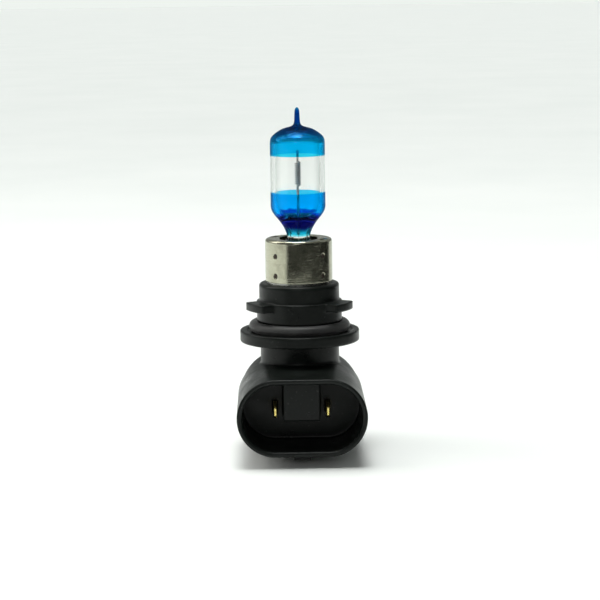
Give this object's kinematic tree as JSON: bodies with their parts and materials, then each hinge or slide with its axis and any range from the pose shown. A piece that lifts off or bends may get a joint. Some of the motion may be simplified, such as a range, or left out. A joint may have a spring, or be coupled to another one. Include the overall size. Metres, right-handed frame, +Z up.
{
  "type": "headlight bulb",
  "caption": "Right-angle plug-in halogen headlight bulb: quartz capsule with blue filter bands, steel collar, lugged moulded base with O-ring and oval socket.",
  "frame": {"origin": "on the bulb axis, in the reference plane at the underside of the three bayonet lugs", "axes": "+Z up the bulb axis to the glass tip, -Y out of the plug socket, +X to the right of someone facing the socket"},
  "size_m": [0.0296, 0.0405, 0.0798],
  "materials": {
    "quartz_glass": "clear, polished",
    "blue_filter": "glossy transparent blue coating",
    "tungsten": "dark drawn wire",
    "molybdenum": "drawn wire and rolled foil",
    "nickel_wire": "drawn wire",
    "collar_steel": "bright drawn stainless steel",
    "weld": "heat-darkened spot weld",
    "base_plastic": "satin moulded black",
    "seal_rubber": "satin rubber",
    "terminal_metal": "plated, bright",
    "cover_plastic": "fine-textured moulded black",
    "potting": "cured resin"
  },
  "bodies": {
    "root": {"glass_capsule": "quartz_glass", "coat_tip": "blue_filter", "coat_neck": "blue_filter", "filament_coil": "tungsten", "lead_in_long": "molybdenum", "lead_in_short": "molybdenum", "foil_front": "molybdenum", "foil_rear": "molybdenum", "outer_lead_front": "nickel_wire", "outer_lead_rear": "nickel_wire", "pinch_clip": "collar_steel", "collar_sleeve": "collar_steel", "anchor_ring": "collar_steel", "weld_spots": "weld", "base_housing": "base_plastic", "o_ring": "seal_rubber", "terminal_left": "terminal_metal", "terminal_right": "terminal_metal", "rear_cover": "cover_plastic", "sealing_compound": "potting"}
  },
  "joints": []
}
